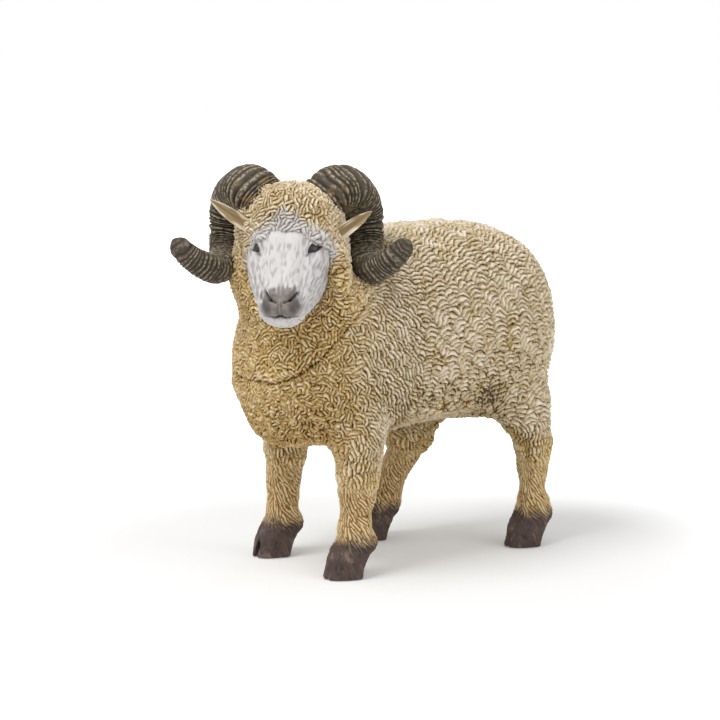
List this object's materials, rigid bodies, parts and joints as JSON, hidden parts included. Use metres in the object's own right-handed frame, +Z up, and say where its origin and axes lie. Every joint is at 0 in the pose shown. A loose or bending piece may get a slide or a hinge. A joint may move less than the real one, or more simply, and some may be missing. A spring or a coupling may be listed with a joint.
{
  "type": "toy ram figure",
  "caption": "Standing toy ram with a woolly body, a head turned to one side, curled ribbed horns, small ears, striding legs and cloven hooves.",
  "frame": {"origin": "middle of the bounding box at floor level, on the plane that the soles stand on", "axes": "-Y ahead, towards the chest; +X to the ram's left; +Z up"},
  "size_m": [0.0414, 0.0868, 0.0801],
  "materials": {
    "fleece": "cream paint with an ochre wash in the grooves, matt",
    "head": "white painted face with a grey muzzle, in a cream and ochre fleece, matt",
    "horn": "dark grey-brown paint with paler dry-brushed ribs, matt",
    "ear": "tan paint, matt",
    "leg": "tan painted leg with a dark brown hoof, matt"
  },
  "bodies": {
    "root": {"torso": "fleece", "tail": "fleece", "head_and_neck": "head", "horn_left": "horn", "horn_right": "horn", "ear_left": "ear", "ear_right": "ear", "leg_front_left": "leg", "leg_front_right": "leg", "leg_hind_left": "leg", "leg_hind_right": "leg"}
  },
  "joints": []
}
